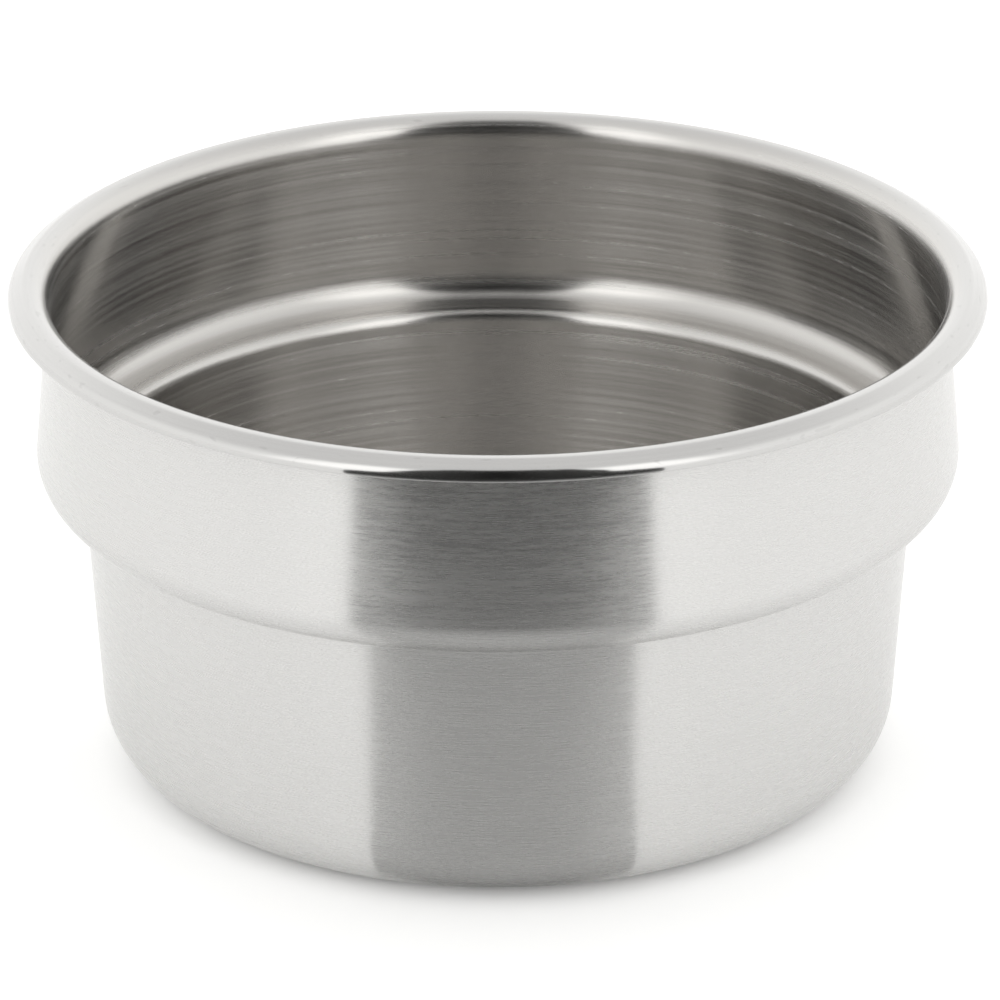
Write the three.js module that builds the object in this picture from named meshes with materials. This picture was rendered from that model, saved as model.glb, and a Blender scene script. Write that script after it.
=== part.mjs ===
// A drop-in inset pan for a round soup kettle: one blank of stainless sheet, drawn in two steps
// to a wide band over a narrower well, with its edge flared and turned down into a hanging rim.
// It is a single pressing, so the group holds a single mesh.
//
// Millimetres. +Z is up, the origin is the centre of the underside, and Z is the pan's own axis.
import * as THREE from "three";

// Driving dimensions. The overall sizes are over the finished steel. The radii and depths of the
// corners inside them are to the middle of the sheet, before the corners are bent.
const SHEET = 0.8; // 22 gauge stainless
const HEIGHT = 148.8; // underside of the base to the crest of the rim
const RIM_RADIUS = 144.5; // outside of the turned-down lip
const LIP_DEPTH = 5.2; // crest of the rim down to the cut edge
const RIM_FALL = 2.5; // how far the rim slopes down from its crest to the lip
const CREST_RADIUS = 139.6; // where the rim stops being level
const NECK_RADIUS = 131.9; // top of the band
const BELLY_RADIUS = 138; // the band widens downwards to this before the shoulder
const SHOULDER_DEPTH = 62.4; // crest of the rim down to the belly's corner
const LEDGE_FALL = 0.4; // the ledge drains inwards by this much
const CREASE_RADIUS = 123.6; // where the ledge turns down into the well
const HEEL_RADIUS = 118.6; // the well narrows downwards to this at the base

// Bend radii, to the middle of the sheet.
const LIP_BEND = 3;
const CREST_BEND = 2.1;
const NECK_BEND = 6.1;
const SHOULDER_BEND = 9.8;
const CREASE_BEND = 3.9;
const HEEL_BEND = 17.2;

const AROUND = 64; // facets round the axis
const BEND_STEP = THREE.MathUtils.degToRad(20); // the most that one facet of a bend turns

const steel = new THREE.MeshStandardMaterial({
  name: "satin_steel",
  color: 0xc4c3c0,
  roughness: 0.32,
  metalness: 1,
});

// The middle of the sheet as corners, from the cut edge of the lip to the centre of the base.
// Each corner between the two ends is bent to the radius given with it.
function bendTable() {
  const half = SHEET / 2;
  const crest = HEIGHT - half;
  const ledge = HEIGHT - SHOULDER_DEPTH;
  return [
    { at: new THREE.Vector2(RIM_RADIUS - half, HEIGHT - LIP_DEPTH) },
    { at: new THREE.Vector2(RIM_RADIUS - half, crest - RIM_FALL), bend: LIP_BEND },
    { at: new THREE.Vector2(CREST_RADIUS, crest), bend: CREST_BEND },
    { at: new THREE.Vector2(NECK_RADIUS, crest), bend: NECK_BEND },
    { at: new THREE.Vector2(BELLY_RADIUS, ledge), bend: SHOULDER_BEND },
    { at: new THREE.Vector2(CREASE_RADIUS, ledge - LEDGE_FALL), bend: CREASE_BEND },
    { at: new THREE.Vector2(HEEL_RADIUS, half), bend: HEEL_BEND },
    { at: new THREE.Vector2(0, half) },
  ];
}

// One station along the sheet: a point of its middle, and the way its left-hand face looks.
function station(point, direction) {
  return { point, left: new THREE.Vector2(-direction.y, direction.x) };
}

// Replaces a corner by an arc that meets both straights at a tangent, as a list of stations.
function bendStations(before, corner, after) {
  const arriving = corner.at.clone().sub(before.at).normalize();
  const leaving = after.at.clone().sub(corner.at).normalize();
  const turn = Math.atan2(arriving.cross(leaving), arriving.dot(leaving));
  const setback = corner.bend * Math.tan(Math.abs(turn) / 2);
  const start = corner.at.clone().addScaledVector(arriving, -setback);
  const towardsCentre = new THREE.Vector2(-arriving.y, arriving.x).multiplyScalar(Math.sign(turn));
  const centre = start.clone().addScaledVector(towardsCentre, corner.bend);
  const steps = Math.max(1, Math.ceil(Math.abs(turn) / BEND_STEP));
  return Array.from({ length: steps + 1 }, (_, i) => {
    const angle = (turn * i) / steps;
    const point = start.clone().rotateAround(centre, angle);
    const direction = arriving.clone().rotateAround(new THREE.Vector2(), angle);
    return station(point, direction);
  });
}

// Every station of the sheet, from the cut edge of the lip to the centre of the base.
function sheetStations(corners) {
  const first = corners[0].at;
  const last = corners.at(-1).at;
  const up = new THREE.Vector2(0, 1);
  const inwards = new THREE.Vector2(-1, 0);
  const bends = corners
    .slice(1, -1)
    .flatMap((corner, i) => bendStations(corners[i], corner, corners[i + 2]));
  return [station(first, up), ...bends, station(last, inwards)];
}

// One face of the sheet: every station moved by this much towards its left.
function face(stations, offset) {
  return stations.map(({ point, left }) => point.clone().addScaledVector(left, offset));
}

// The closed section: out along the underside and the outer wall, round the cut edge, and back
// along the rim's top and the inner wall. Both ends are on the axis.
function section() {
  const stations = sheetStations(bendTable());
  const outerFace = face(stations, SHEET / 2).reverse();
  const innerFace = face(stations, -SHEET / 2);
  return [...outerFace, ...innerFace];
}

// The section turned about the axis, stood up so that the lathe's Y becomes the pan's Z.
function insetPan() {
  const geometry = new THREE.LatheGeometry(section(), AROUND).rotateX(Math.PI / 2);
  const mesh = new THREE.Mesh(geometry, steel);
  mesh.name = "inset_pan";
  return mesh;
}

const soupKettle = new THREE.Group();
soupKettle.name = "soup_kettle";
soupKettle.add(insetPan());

export default soupKettle;
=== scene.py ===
# %% [markdown]
# # A drop-in pan for a round soup kettle
#
# The pan is one sheet of stainless steel, drawn to shape in a press and then spun against a belt,
# which leaves a fine grain that runs round it. This lesson builds its finished surface on top of the
# engineering model: the model gives the size and the place, and the cells below add the smooth
# bends, the small faults of a pressed rim, and the satin steel.

# %% Load the engineering model
from math import radians

import bpy
import numpy as np
from mathutils import Matrix, Vector


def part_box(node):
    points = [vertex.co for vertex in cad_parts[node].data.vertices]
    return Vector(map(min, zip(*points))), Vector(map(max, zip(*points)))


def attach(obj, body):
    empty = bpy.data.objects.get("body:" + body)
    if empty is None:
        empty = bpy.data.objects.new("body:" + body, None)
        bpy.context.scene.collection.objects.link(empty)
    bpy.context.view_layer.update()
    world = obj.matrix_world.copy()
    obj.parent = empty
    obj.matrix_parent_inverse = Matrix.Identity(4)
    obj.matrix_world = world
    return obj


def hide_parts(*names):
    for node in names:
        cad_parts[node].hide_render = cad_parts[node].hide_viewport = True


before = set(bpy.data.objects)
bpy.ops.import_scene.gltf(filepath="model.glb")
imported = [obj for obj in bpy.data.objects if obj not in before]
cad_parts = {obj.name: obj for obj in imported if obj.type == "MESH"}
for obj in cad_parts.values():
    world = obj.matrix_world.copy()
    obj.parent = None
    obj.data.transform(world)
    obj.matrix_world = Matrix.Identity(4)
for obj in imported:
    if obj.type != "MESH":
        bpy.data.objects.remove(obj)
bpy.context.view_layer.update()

MM = 0.001
NODE = "inset_pan"
_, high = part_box(NODE)
RIM_RADIUS = high.x
HEIGHT = high.z
print(f"The pan is {2 * RIM_RADIUS / MM:.1f} mm across and {HEIGHT / MM:.1f} mm high")

# %% [markdown]
# ## The camera
#
# A long lens from a little above the rim keeps the pan's sides nearly upright and lets the step
# inside it show. The camera is placed by its distance and its elevation from a point on the pan's
# axis, turned to look just beside that point, and then rolled a little.

# %% Place the camera
CAMERA_DISTANCE = 1.6
CAMERA_ELEVATION = radians(23.87)
CAMERA_ROLL = radians(-0.10)
CAMERA_LENS = 191.64
AIM = Vector((0.0006, 0, HEIGHT - 0.0741))


def orbit(distance, elevation, height):
    """A point at this distance and elevation from the axis at this height, on the -Y side."""
    return Vector((0, -distance * np.cos(elevation), height + distance * np.sin(elevation)))


def make_camera():
    """A camera that looks from the orbit to the aim, and is rolled about its own line of sight."""
    data = bpy.data.cameras.new("camera")
    data.lens = CAMERA_LENS
    camera = bpy.data.objects.new("camera", data)
    bpy.context.scene.collection.objects.link(camera)
    camera.location = orbit(CAMERA_DISTANCE, CAMERA_ELEVATION, AIM.z)
    gaze = (AIM - camera.location).to_track_quat("-Z", "Y").to_matrix().to_4x4()
    camera.rotation_euler = gaze.to_euler()
    camera.rotation_euler.rotate_axis("Z", CAMERA_ROLL)
    return camera


bpy.context.scene.camera = make_camera()
print("Camera at", [round(c, 3) for c in bpy.context.scene.camera.location])

# %% [markdown]
# ## Shader arithmetic
#
# A shader is a graph of nodes, and a graph is hard to read. One small class wraps a socket that
# carries a number, so that `1 - mask * 0.5` adds the Math nodes by itself. Every other node is
# added by one function, which takes the node's type, its settings, and what goes into its sockets.

# %% A wire that does arithmetic
def add_node(tree, kind, settings=None, sockets=None, out=0):
    """Adds a node, sets it up, fills its sockets, and returns one output as a Wire."""
    made = tree.nodes.new(kind)
    for name, value in (settings or {}).items():
        setattr(made, name, value)
    for key, value in (sockets or {}).items():
        if isinstance(value, Wire):
            tree.links.new(value.socket, made.inputs[key])
        else:
            made.inputs[key].default_value = value
    return Wire(tree, made.outputs[out]) if len(made.outputs) else made


class Wire:
    """One output of a node tree. Arithmetic on it adds Math nodes."""

    def __init__(self, tree, socket):
        self.tree = tree
        self.socket = socket

    def math(self, operation, *values):
        return add_node(self.tree, "ShaderNodeMath", {"operation": operation}, dict(enumerate(values)))

    def __add__(self, other):
        return self.math("ADD", self, other)

    def __sub__(self, other):
        return self.math("SUBTRACT", self, other)

    def __rsub__(self, other):
        return self.math("SUBTRACT", other, self)

    def __mul__(self, other):
        return self.math("MULTIPLY", self, other)

    def __truediv__(self, other):
        return self.math("DIVIDE", self, other)

    __radd__ = __add__
    __rmul__ = __mul__

    def between(self, start, end):
        """0 below start, 1 above end, and a smooth S in between. It falls if start is above end."""
        settings = {"interpolation_type": "SMOOTHSTEP"}
        sockets = {"Value": self, "From Min": start, "From Max": end}
        return add_node(self.tree, "ShaderNodeMapRange", settings, sockets)


def vector(tree, x, y, z):
    """Three numbers as one vector."""
    return add_node(tree, "ShaderNodeCombineXYZ", None, {"X": x, "Y": y, "Z": z})


def components(tree, whole):
    """A vector as its three numbers."""
    split = add_node(tree, "ShaderNodeSeparateXYZ", None, {"Vector": whole})
    return split, *(Wire(tree, split.socket.node.outputs[i]) for i in (1, 2))


def mix_colour(tree, factor, first, second):
    """first where factor is 0, second where it is 1."""
    settings = {"data_type": "RGBA"}
    return add_node(tree, "ShaderNodeMix", settings, {0: factor, 6: first, 7: second}, out=2)


print("Shader arithmetic is ready")

# %% [markdown]
# ## The studio
#
# Bright metal has no look of its own: it shows what stands round it. Inside a white tent that is
# open towards the camera, a dark band with upright edges runs down the middle of a pan's wall. Here
# the sky is that tent. It is white all round, and dark in a wedge on the camera's side. The wedge is
# an opening between two hanging sheets: it narrows as it rises, it ends just below the roof, and
# some light spills into its edges. The sheets on either side of it are lit the most, and the roof
# the least. Lamps could do the same, but they would leave gaps between them.

# %% The tent
TENT_WHITE = (1.0, 0.998, 0.99, 1)
TENT_PANEL = (1.40, 1.395, 1.381, 1)
TENT_ROOF = (0.74, 0.738, 0.732, 1)
TENT_DARK = (0.012, 0.012, 0.0116, 1)
TENT_SPILL = (0.060, 0.0595, 0.058, 1)
TENT_STRENGTH = 1.35
GAP_TURN = 0.9
GAP_HALF_WIDTH = 35.5
GAP_HALF_WIDTH_ABOVE = 25.5
GAP_NARROWS = (0.0, 0.42)
GAP_TOP = (0.995, 0.955)
GAP_SOFTNESS = 1.4
ROOF_STARTS = (0.42, 0.95)
PANEL_WIDTH = (34, 16)
PANEL_FOOT = (0.05, 0.35)
PANEL_TOP = (0.97, 0.75)


def make_tent():
    """White in every direction, and dark where the azimuth is within the gap on the -Y side. The
    height of a direction is the sine of its elevation, and the gap's width and top depend on it."""
    world = bpy.data.worlds.new("tent")
    bpy.context.scene.world = world
    world.use_nodes = True
    tree = world.node_tree
    tree.nodes.clear()
    toward = add_node(tree, "ShaderNodeTexCoord", out="Generated")
    x, y, height = components(tree, toward)
    signed = x.math("ARCTAN2", x, 0 - y) - radians(GAP_TURN)
    azimuth = signed.math("ABSOLUTE", signed)
    narrowing = radians(GAP_HALF_WIDTH - GAP_HALF_WIDTH_ABOVE)
    edge = radians(GAP_HALF_WIDTH) - height.between(*GAP_NARROWS) * narrowing
    softness = radians(GAP_SOFTNESS)
    open_side = azimuth.between(edge + softness, edge - softness) * height.between(*GAP_TOP)
    sheets = mix_colour(tree, height.between(*ROOF_STARTS), TENT_WHITE, TENT_ROOF)
    widest, full = (radians(angle) for angle in PANEL_WIDTH)
    upright = height.between(*PANEL_FOOT) * height.between(*PANEL_TOP)
    panel = azimuth.between(edge + widest, edge + full) * upright
    white = mix_colour(tree, panel, sheets, TENT_PANEL)
    gap = mix_colour(tree, azimuth / edge, TENT_DARK, TENT_SPILL)
    colour = mix_colour(tree, open_side, white, gap)
    light = add_node(
        tree, "ShaderNodeBackground", None, {"Color": colour, "Strength": TENT_STRENGTH}
    )
    add_node(tree, "ShaderNodeOutputWorld", None, {"Surface": light})


make_tent()
print(f"The tent is open {2 * GAP_HALF_WIDTH:.0f} degrees towards the camera")

# %% [markdown]
# ## The light table and the black flag of painted shade
#
# The pan stands on a sheet of white plastic that is lit through from below, so the floor stays white
# close up to the base, but a narrow ring round the base is left without glow, which paints a soft
# contact shade. A black flag lies on it in front of the pan. It is a painted reflection of shade,
# which stands for the darkness on the camera's side. The brushed wall blurs its reflections in
# height, so it mixes the white near its foot with the black further out. The camera doesn't see the
# flag, and it throws no shadow: only glossy reflections meet it.

# %% The floor
FLOOR_HALF = 4.0
FLOOR_COLOUR = (0.92, 0.92, 0.915, 1)
FLOOR_GLOW = 0.28
# Painted shade: no glow inside the first radius and full glow past the second, a dark ring round the
# base.
SHADE_RING_TO_GLOW = (0.096, 0.124)
WINDOW_ENDS = (0.101, 0.099)
FLAG_NEAR = 0.110
FLAG_FAR = 3.9
FLAG_HALF_WIDTH = 0.038
FLAG_HEIGHT = 0.4 * MM
FLAG_CLEAR = 0.250
FLAG_BLACK = 0.520
FLAG_THIN = 0.46
# Painted shade: a near-black glow that only the pan's reflections meet.
FLAG_SHADE_COLOUR = (0.030, 0.030, 0.0291, 1)


def flat_sheet(name, corners, shader):
    """One flat face. Its material is made by the shader function."""
    mesh = bpy.data.meshes.new(name)
    mesh.from_pydata(corners, [], [(0, 1, 2, 3)])
    sheet = bpy.data.objects.new(name, mesh)
    bpy.context.scene.collection.objects.link(sheet)
    material = bpy.data.materials.new(name)
    material.use_nodes = True
    tree = material.node_tree
    tree.nodes.clear()
    add_node(tree, "ShaderNodeOutputMaterial", None, {"Surface": shader(tree)})
    mesh.materials.append(material)
    return sheet


def lit_plastic(tree):
    """Diffuse and a little glowing from above, but not close round the base, where the missing glow
    paints a ring of contact shade. It is clear from below and in a window under the base, so that the
    underside can be seen and is lit."""
    matt = add_node(tree, "ShaderNodeBsdfDiffuse", None, {"Color": FLOOR_COLOUR})
    x, y, _ = components(tree, add_node(tree, "ShaderNodeTexCoord", out="Object"))
    radius_squared = x * x + y * y
    # The glow fades out towards the base, which paints contact shade on the floor.
    lit = radius_squared.between(*(radius**2 for radius in SHADE_RING_TO_GLOW)) * FLOOR_GLOW
    window = radius_squared.between(*(radius**2 for radius in WINDOW_ENDS))
    glow = add_node(tree, "ShaderNodeEmission", None, {"Strength": lit})
    above = add_node(tree, "ShaderNodeAddShader", None, {0: matt, 1: glow})
    clear = add_node(tree, "ShaderNodeBsdfTransparent")
    below = add_node(tree, "ShaderNodeNewGeometry", out="Backfacing")
    see_through = below.math("MAXIMUM", below, window)
    return add_node(tree, "ShaderNodeMixShader", None, {0: see_through, 1: above, 2: clear})


def reflected_shade(tree):
    """A painted reflection of shade: thin near the pan, and black further out along -Y."""
    _, y, _ = components(tree, add_node(tree, "ShaderNodeTexCoord", out="Object"))
    cover = FLAG_THIN + (0 - y).between(FLAG_CLEAR, FLAG_BLACK) * (1 - FLAG_THIN)
    clear = add_node(tree, "ShaderNodeBsdfTransparent")
    # The black here is painted shade, seen only in reflections.
    black = add_node(tree, "ShaderNodeEmission", None, {"Color": FLAG_SHADE_COLOUR, "Strength": 1.0})
    return add_node(tree, "ShaderNodeMixShader", None, {0: cover, 1: clear, 2: black})


def make_flag():
    """A sheet between the two sides of the tent's gap, seen by glossy rays only: painted shade in the
    pan's reflections.
    """
    far_half = FLAG_HALF_WIDTH + (FLAG_FAR - FLAG_NEAR) * np.tan(radians(GAP_HALF_WIDTH))
    corners = [
        (-far_half, -FLAG_FAR, FLAG_HEIGHT),
        (far_half, -FLAG_FAR, FLAG_HEIGHT),
        (FLAG_HALF_WIDTH, -FLAG_NEAR, FLAG_HEIGHT),
        (-FLAG_HALF_WIDTH, -FLAG_NEAR, FLAG_HEIGHT),
    ]
    turn = np.array(Matrix.Rotation(radians(GAP_TURN), 3, "Z"))
    flag = flat_sheet("reflected_shade_flag", (corners @ turn.T).tolist(), reflected_shade)
    flag.visible_camera = False
    flag.visible_diffuse = False
    flag.visible_shadow = False


around = [(-1, -1), (1, -1), (1, 1), (-1, 1)]
flat_sheet("floor", [(FLOOR_HALF * x, FLOOR_HALF * y, 0) for x, y in around], lit_plastic)
make_flag()
bpy.context.scene.view_settings.view_transform = "Standard"
print("The floor is laid")

# %% [markdown]
# ## The bend table
#
# A press shop draws a pan as the middle line of its sheet: a few corners, and the radius that each
# corner is bent to. The path runs from the cut edge of the lip, over the rim, down the wide band,
# in along the ledge, down the well, and to the centre of the base. An outline traced point by
# point would need hundreds of numbers, and its bends would never be quite round.

# %% The corners of the sheet
SHEET = 0.8 * MM
HALF = SHEET / 2
CREST = HEIGHT - HALF
LEDGE = HEIGHT - 62.4 * MM
BEND_TABLE = [
    # radius and height of the corner, and the radius that it is bent to
    (RIM_RADIUS - HALF, HEIGHT - 5.2 * MM, None),
    (RIM_RADIUS - HALF, CREST - 2.5 * MM, 3.0 * MM),
    (139.6 * MM, CREST, 2.1 * MM),
    (131.9 * MM, CREST, 6.1 * MM),
    (138.0 * MM, LEDGE, 9.8 * MM),
    (123.6 * MM, LEDGE - 0.4 * MM, 3.9 * MM),
    (118.6 * MM, HALF, 17.2 * MM),
    (0.0, HALF, None),
]
print(f"{len(BEND_TABLE) - 2} bends in the sheet")

# %% Bend the sheet
BEND_STEP = radians(6)
STRAIGHT_STEP = 6 * MM


def turned(v, angle):
    """A vector turned by these angles, one row for each."""
    c, s = np.cos(angle), np.sin(angle)
    return np.stack([c * v[0] - s * v[1], s * v[0] + c * v[1]], axis=-1)


def bend(before, at, after, radius):
    """An arc that meets both straights at a tangent. It starts radius * tan(half the turn) before
    the corner, and each point is the start turned about the arc's centre. Gives the points and the
    direction of travel at each."""
    arriving = (at - before) / np.linalg.norm(at - before)
    leaving = (after - at) / np.linalg.norm(after - at)
    turn = np.arctan2(np.cross(arriving, leaving), arriving @ leaving)
    start = at - arriving * radius * np.tan(abs(turn) / 2)
    centre = start + np.sign(turn) * radius * turned(arriving, np.pi / 2)
    angle = turn * np.linspace(0, 1, 1 + int(np.ceil(abs(turn) / BEND_STEP)))
    return centre + turned(start - centre, angle), turned(arriving, angle)


def straight(start, end, direction):
    """The points strictly between two bends, evenly spaced, with their direction."""
    count = int(np.linalg.norm(end - start) / STRAIGHT_STEP)
    share = np.linspace(0, 1, count + 2)[1:-1, None]
    return start + (end - start) * share, np.broadcast_to(direction, (count, 2))


def sheet_path(table):
    """The middle of the sheet as points and directions, from the lip's cut edge to the axis."""
    corners = np.array([row[:2] for row in table])
    arcs = [
        bend(corners[i - 1], corners[i], corners[i + 1], table[i][2])
        for i in range(1, len(table) - 1)
    ]
    first = (corners[:1], arcs[0][1][:1])
    last = (corners[-1:], arcs[-1][1][-1:])
    runs = [first, *arcs, last]
    parts = []
    for here, there in zip(runs[:-1], runs[1:]):
        parts.append(here)
        parts.append(straight(here[0][-1], there[0][0], here[1][-1]))
    parts.append(last)
    return np.vstack([p for p, _ in parts]), np.vstack([d for _, d in parts])


path, direction = sheet_path(BEND_TABLE)
travel = np.r_[0, np.cumsum(np.linalg.norm(np.diff(path, axis=0), axis=1))]
print(f"{len(path)} stations along {travel[-1] / MM:.0f} mm of sheet")

# %% [markdown]
# ## The two faces of the sheet
#
# The sheet has a real thickness, so each station gives two points, half a sheet to either side.
# The outer face is followed from the centre of the underside up to the cut edge, and the inner
# face back down to the centre, which closes the section. The edge left by the trimming die is
# broken by a small round on each corner.

# %% Close the section
EDGE_ROUND = 0.18 * MM
EDGE_STEPS = 4


def cut_edge(middle):
    """The lower end of the lip, from the side towards the axis to the outer side. Each corner is a
    quarter circle about a centre that is EDGE_ROUND in from both faces."""
    angle = np.linspace(0, np.pi / 2, EDGE_STEPS)
    rise = EDGE_ROUND * (1 - np.sin(angle))
    reach = HALF - EDGE_ROUND + EDGE_ROUND * np.cos(angle)
    towards_axis = middle + np.stack([-reach, rise], axis=-1)
    outward = middle + np.stack([reach, rise], axis=-1)[::-1]
    return np.vstack([towards_axis, outward])


def section(points, directions):
    """Both faces and the rounded cut edge as one line from axis to axis, with the distance of each
    point along the sheet from the cut edge, and its side: 0 outside, 1 inside."""
    left = np.stack([-directions[:, 1], directions[:, 0]], axis=-1)
    outer = (points + HALF * left)[:0:-1]
    inner = (points - HALF * left)[1:]
    edge = cut_edge(points[0])
    line = np.vstack([outer, edge, inner])
    along = np.r_[travel[:0:-1], np.zeros(len(edge)), travel[1:]]
    side = np.r_[np.zeros(len(outer) + len(edge) // 2), np.ones(len(inner) + len(edge) // 2)]
    return line, along, side


line, along, side = section(path, direction)
print(f"{len(line)} points in the closed section")

# %% [markdown]
# ## Spinning the section
#
# The finished surface is the section turned about the axis. Its two ends lie on the axis, so each
# becomes a single pole with a fan of triangles, and the seam closes on itself because the last
# column of faces joins the first column of points.

# %% The faults of the rim
AROUND = 400
SEED = 7
WAVES = np.r_[2:6, 14:60:3, 63:105:4]
WAVE_HEIGHT = 0.17 * MM
WAVE_SIZES = (0.4, 1.0)
WAVE_FALLOFF = 0.7
WAVE_REACH = 9 * MM
WAVE_DROP = 0.5

azimuth = np.linspace(0, 2 * np.pi, AROUND, endpoint=False)
random = np.random.default_rng(SEED)


def rim_waves():
    """A sum of cosines round the rim. Each is a random size over its count of waves, raised to the
    power WAVE_FALLOFF."""
    size = random.uniform(*WAVE_SIZES, len(WAVES)) / WAVES**WAVE_FALLOFF
    phase = random.uniform(0, 2 * np.pi, len(WAVES))
    waves = size[:, None] * np.cos(WAVES[:, None] * azimuth + phase[:, None])
    return WAVE_HEIGHT * waves.sum(axis=0)


wave = rim_waves()
print(f"The rim is out of true by {np.ptp(wave) / MM:.2f} mm")

# %% Spin it into a mesh
def spin(ring, along):
    """Rows of points, one row for each station and one column for each azimuth. A point is
    (radius * sin azimuth, -radius * cos azimuth, height). Near the cut edge the radius shrinks by
    the wave and the height drops by WAVE_DROP of it, and both fade out over WAVE_REACH of sheet."""
    share = np.clip(1 - along / WAVE_REACH, 0, 1)[:, None] ** 2
    dip = share * (wave.max() - wave)
    radius = ring[:, :1] - dip
    height = ring[:, 1:] - WAVE_DROP * dip
    return np.stack([radius * np.sin(azimuth), -radius * np.cos(azimuth), height], axis=-1)


def spun_faces(rows):
    """Quads between neighbouring rows, and a fan round each pole. The poles are the last two
    points of the mesh."""
    index = np.arange(rows * AROUND).reshape(rows, AROUND)
    beside = np.roll(index, -1, axis=1)
    quads = np.stack([index[:-1], beside[:-1], beside[1:], index[1:]], axis=-1).reshape(-1, 4)
    first_pole = rows * AROUND
    last_pole = first_pole + 1
    first_fan = np.stack([np.full(AROUND, first_pole), beside[0], index[0]], axis=-1)
    last_fan = np.stack([np.full(AROUND, last_pole), index[-1], beside[-1]], axis=-1)
    return quads, np.vstack([first_fan, last_fan])


def spread(values):
    """A value for each station, given to each of its points and then to the poles."""
    return np.r_[np.repeat(values[1:-1], AROUND), values[0], values[-1]]


def make_pan(line, numbers):
    """The pan's mesh, with one point attribute for each named row of numbers."""
    ring = line[1:-1]
    points = spin(ring, numbers["along"][1:-1]).reshape(-1, 3)
    poles = np.array([(0, 0, line[0, 1]), (0, 0, line[-1, 1])])
    quads, fans = spun_faces(len(ring))
    mesh = bpy.data.meshes.new("pan")
    mesh.from_pydata(np.vstack([points, poles]).tolist(), [], quads.tolist() + fans.tolist())
    for name, values in numbers.items():
        mesh.attributes.new(name, "FLOAT", "POINT").data.foreach_set("value", spread(values))
    mesh.shade_smooth()
    mesh.validate()
    pan = bpy.data.objects.new("pan", mesh)
    bpy.context.scene.collection.objects.link(pan)
    return pan


def volume(mesh):
    """The space inside a closed mesh: a sixth of the triple product over its triangles."""
    mesh.calc_loop_triangles()
    corners = np.empty(len(mesh.loop_triangles) * 3, np.int32)
    mesh.loop_triangles.foreach_get("vertices", corners)
    points = np.empty(len(mesh.vertices) * 3)
    mesh.vertices.foreach_get("co", points)
    a, b, c = points.reshape(-1, 3)[corners.reshape(-1, 3)].transpose(1, 0, 2)
    return float(np.sum(np.cross(a, b) * c) / 6)


# %% [markdown]
# ## Where the steel is polished
#
# The rim is buffed bright after it is trimmed, because hands and ladles touch it, so the finish
# changes along the sheet. One number for each station says how polished it is, and the mesh carries
# it to the shader.

# %% The polish along the sheet
RIM_END = 8.5 * MM
RIM_FADE = 6 * MM


def fade(distance, width):
    """1 up to a distance of 0, then down to 0 over this width as a smooth S."""
    share = np.clip(distance / width, 0, 1)
    return 1 - share * share * (3 - 2 * share)


polish = fade(along - RIM_END, RIM_FADE)
print(f"The polish ends {(RIM_END + RIM_FADE) / MM:.0f} mm from the cut edge")

# %% Make the pan
pan = make_pan(line, {"along": along, "inside": side, "polish": polish})
steel_volume = volume(pan.data)
triangles = len(pan.data.loop_triangles)
print(f"{triangles} triangles hold {steel_volume * 1e6:.1f} cubic centimetres of steel")

# %% [markdown]
# ## The marks in the steel
#
# A belt leaves thousands of fine scratches that run round the pan. Outside they are short strokes.
# Inside, the pan was turned against the belt, so they are rings that go nearly all the way round.
# Both are noise that is stretched along the grain: it is read at (x, y, distance along the sheet),
# and the last of these is scaled up the most. A few deeper scratches and, on the polished
# rim, a few nicks are the peaks of two more noises.

# %% The marks in the steel
# Each is cells in a metre round the pan, cells in a metre across the grain, and finer octaves.
FINE = (190, 3600, 3.0)
BROAD = (55, 2400, 2.0)
CLOUD = (30, 70, 2.0)
RINGS = (2.5, 620, 4.0)
SCRATCH = (60, 3600, 0.0)
NICK = (260, 700, 0.0)
SCRATCH_PEAKS = (0.70, 0.78)
NICK_PEAKS = (0.77, 0.80)
FINE_SHARE = 0.45
BROAD_SHARE = 0.40
CLOUD_SHARE = 0.15
FINE_SHARE_INSIDE = 0.18
RINGS_SHARE_INSIDE = 0.82


def attribute(tree, name):
    """One of the numbers that the mesh carries."""
    return add_node(tree, "ShaderNodeAttribute", {"attribute_name": name}, out="Fac")


def steel_marks(tree, inside, polished):
    """The streaks of the grain from 0 to 1, and the masks of the scratches and of the nicks."""
    x, y, _ = components(tree, add_node(tree, "ShaderNodeTexCoord", out="Object"))
    along_sheet = attribute(tree, "along")

    def grain(around, across, detail):
        """Noise whose cells are 1/around metres long round the pan and 1/across wide."""
        where = vector(tree, x * around, y * around, along_sheet * across)
        sockets = {"Vector": where, "Scale": 1.0, "Detail": detail}
        return add_node(tree, "ShaderNodeTexNoise", None, sockets)

    fine = grain(*FINE)
    brushed = fine * FINE_SHARE + grain(*BROAD) * BROAD_SHARE + grain(*CLOUD) * CLOUD_SHARE
    turned_lines = fine * FINE_SHARE_INSIDE + grain(*RINGS) * RINGS_SHARE_INSIDE
    streak = brushed + (turned_lines - brushed) * inside
    scratch = grain(*SCRATCH).between(*SCRATCH_PEAKS) * (1 - inside)
    nick = grain(*NICK).between(*NICK_PEAKS) * polished
    return streak, scratch, nick


print(f"The finest strokes are {1000 / FINE[0]:.0f} mm long and {1000 / FINE[1]:.1f} mm wide")

# %% [markdown]
# ## Satin steel
#
# Each scratch tips the light up or down and hardly to the side, so the reflections keep their
# upright edges and smear in height. An anisotropic gloss does that for the scratches that are too
# fine to see. The belt also tears the metal as it cuts, and torn metal scatters light widely, so a
# pale haze lies over the dark reflections. One gloss can't be both, so a second, much rougher one is
# mixed in, and there is more of it where the grain is raised. Colour, roughness and bump all calm
# down where the steel is polished.

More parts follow.
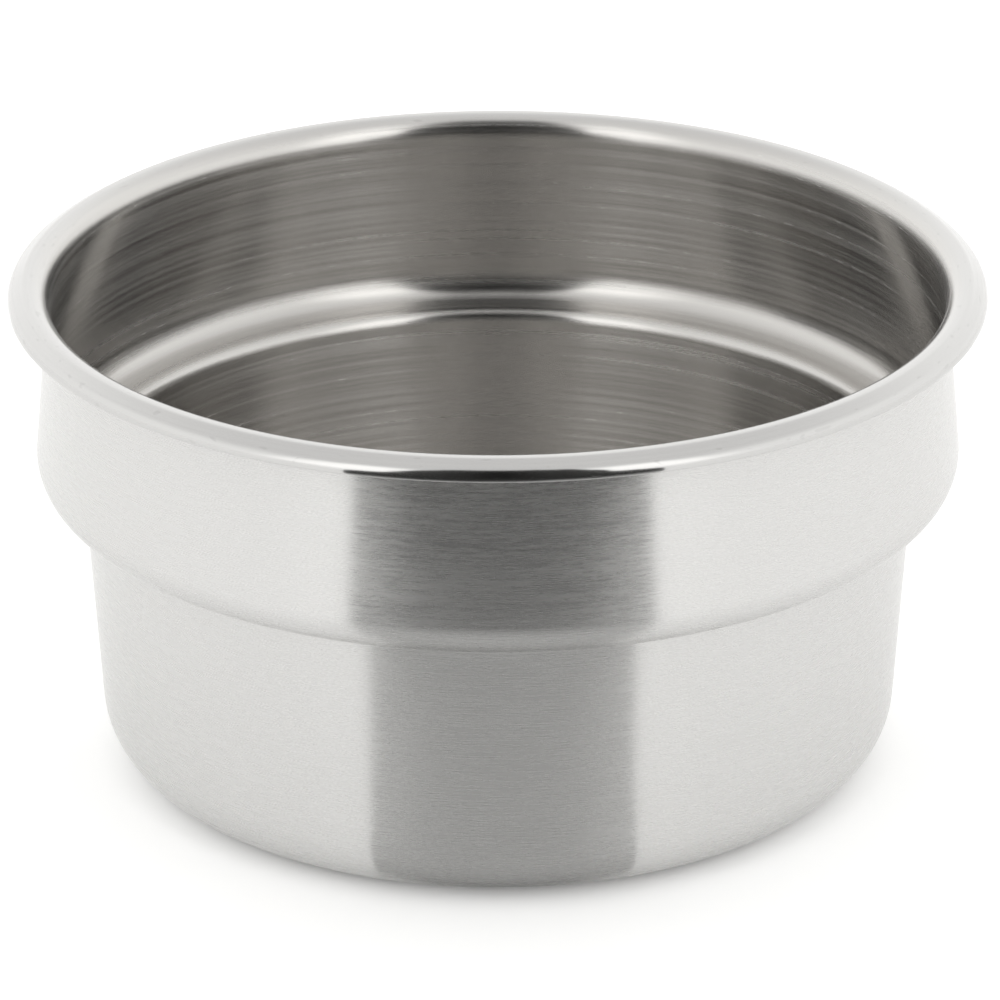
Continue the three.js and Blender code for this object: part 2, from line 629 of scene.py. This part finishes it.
# %% The steel
STEEL_LIGHT = (0.668, 0.663, 0.655, 1)
STEEL_DARK = (0.588, 0.583, 0.574, 1)
# Painted shade: the steel inside the pan is made darker and a little warmer, and the polished rim
# darker still, to dim their reflections.
INSIDE_SHADE_TINT = (0.915, 0.903, 0.886, 1)
RIM_SHADE_TINT = (0.87, 0.87, 0.87, 1)
NO_TINT = (1, 1, 1, 1)
TONE_CONTRAST = 2.2
TONE_KEPT_BY_POLISH = 0.25
SCRATCH_TONE = 0.2
NICK_TONE = 1.5
SATIN_OUTSIDE = 0.275
SATIN_INSIDE = 0.225
ROUGHNESS_SWING = 0.35
BUFFED = 0.13
BUMP_STRENGTH = 0.28
GRAIN_DEPTH = 0.08 * MM
NICK_DEPTH = 0.5
HAZE_ROUGHNESS = 0.55
TORN_EVERYWHERE = 0.06
TORN_OUTSIDE = 0.16
TORN_OUTSIDE_STREAKS = (0.36, 0.74)
TORN_SCRATCH = 0.10
TORN_INSIDE = 0.13
TORN_INSIDE_STREAKS = (0.42, 0.80)
POLISH_MENDS = 0.3


def steel_colour(tree, inside, polished, streak, scratch, nick):
    """Dark steel to light steel by the tone of the marks, times a darker colour inside the pan and on
    the polished rim, which is painted shade.
    """
    contrast = (TONE_KEPT_BY_POLISH + (1 - TONE_KEPT_BY_POLISH) * (1 - polished)) * TONE_CONTRAST
    marks = scratch * (1 - polished) * SCRATCH_TONE - nick * NICK_TONE
    tone = 0.5 + (streak - 0.5) * contrast + marks
    bare = mix_colour(tree, tone, STEEL_DARK, STEEL_LIGHT)
    # The inside and the polished rim are darkened here: painted shade.
    shade_tint = mix_colour(tree, polished, mix_colour(tree, inside, NO_TINT, INSIDE_SHADE_TINT), RIM_SHADE_TINT)
    return add_node(tree, "ShaderNodeVectorMath", {"operation": "MULTIPLY"}, {0: bare, 1: shade_tint})


def haze_share(inside, polished, streak, scratch):
    """How much of the steel is torn: more on the raised grain, and less where it is polished."""
    outside = TORN_EVERYWHERE + streak.between(*TORN_OUTSIDE_STREAKS) * TORN_OUTSIDE
    outside = outside + scratch * TORN_SCRATCH
    within = streak.between(*TORN_INSIDE_STREAKS) * TORN_INSIDE
    return (outside + (within - outside) * inside) * (1 - polished * POLISH_MENDS)


def make_steel():
    """Two metals of one colour and one bump: a sheen that is smeared across the grain, and a broad
    haze. The share of torn steel mixes them."""
    steel = bpy.data.materials.new("satin_steel")
    steel.use_nodes = True
    tree = steel.node_tree
    tree.nodes.clear()
    inside = attribute(tree, "inside")
    polished = attribute(tree, "polish")
    streak, scratch, nick = steel_marks(tree, inside, polished)
    colour = steel_colour(tree, inside, polished, streak, scratch, nick)
    satin = SATIN_OUTSIDE + inside * (SATIN_INSIDE - SATIN_OUTSIDE) + (streak - 0.5) * ROUGHNESS_SWING
    roughness = satin * (1 - polished) + BUFFED * polished
    height = streak * (1 - polished) - nick * NICK_DEPTH
    relief = {"Strength": BUMP_STRENGTH, "Distance": GRAIN_DEPTH, "Height": height}
    bump = add_node(tree, "ShaderNodeBump", None, relief)
    metal = {"Base Color": colour, "Metallic": 1.0, "Normal": bump}
    brushed_gloss = {"Roughness": roughness, "Anisotropic": 1.0, "Anisotropic Rotation": 0.25}
    sheen = add_node(tree, "ShaderNodeBsdfPrincipled", None, metal | brushed_gloss)
    haze = add_node(tree, "ShaderNodeBsdfPrincipled", None, metal | {"Roughness": HAZE_ROUGHNESS})
    torn = haze_share(inside, polished, streak, scratch)
    surface = add_node(tree, "ShaderNodeMixShader", None, {0: torn, 1: sheen, 2: haze})
    add_node(tree, "ShaderNodeOutputMaterial", None, {"Surface": surface})
    return steel


pan.data.materials.append(make_steel())
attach(pan, "root")
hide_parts(NODE)
print("The pan is finished in satin steel")
